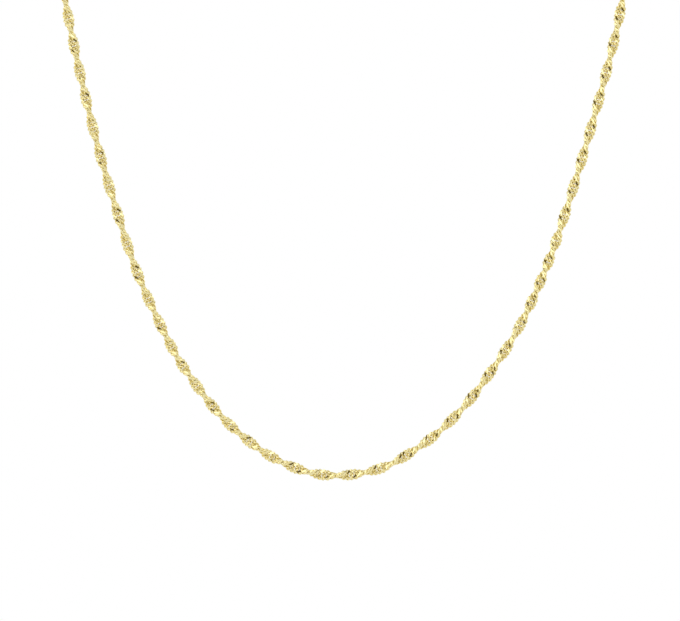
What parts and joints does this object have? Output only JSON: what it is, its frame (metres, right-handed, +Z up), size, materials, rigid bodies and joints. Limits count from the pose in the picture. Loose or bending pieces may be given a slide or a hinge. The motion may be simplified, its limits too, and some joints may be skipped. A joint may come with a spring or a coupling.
{
  "type": "singapore chain necklace",
  "caption": "Fine twisted gold neck chain of interlocked curb links, a closed loop hanging as worn, with a spring ring clasp at the nape.",
  "frame": {"origin": "middle of the neck opening, a little above the straight strands of the hanging front, where the neck holds the chain", "axes": "+Z is up, along the neck; the front hangs in a vertical plane that faces -Y; +X is the right side as seen from the front"},
  "size_m": [0.11, 0.0978, 0.1281],
  "materials": {
    "gold": "polished"
  },
  "bodies": {
    "root": {"chain_left": "gold", "chain_right": "gold", "ring_left": "gold", "clasp": "gold", "ring_right": "gold"}
  },
  "joints": []
}
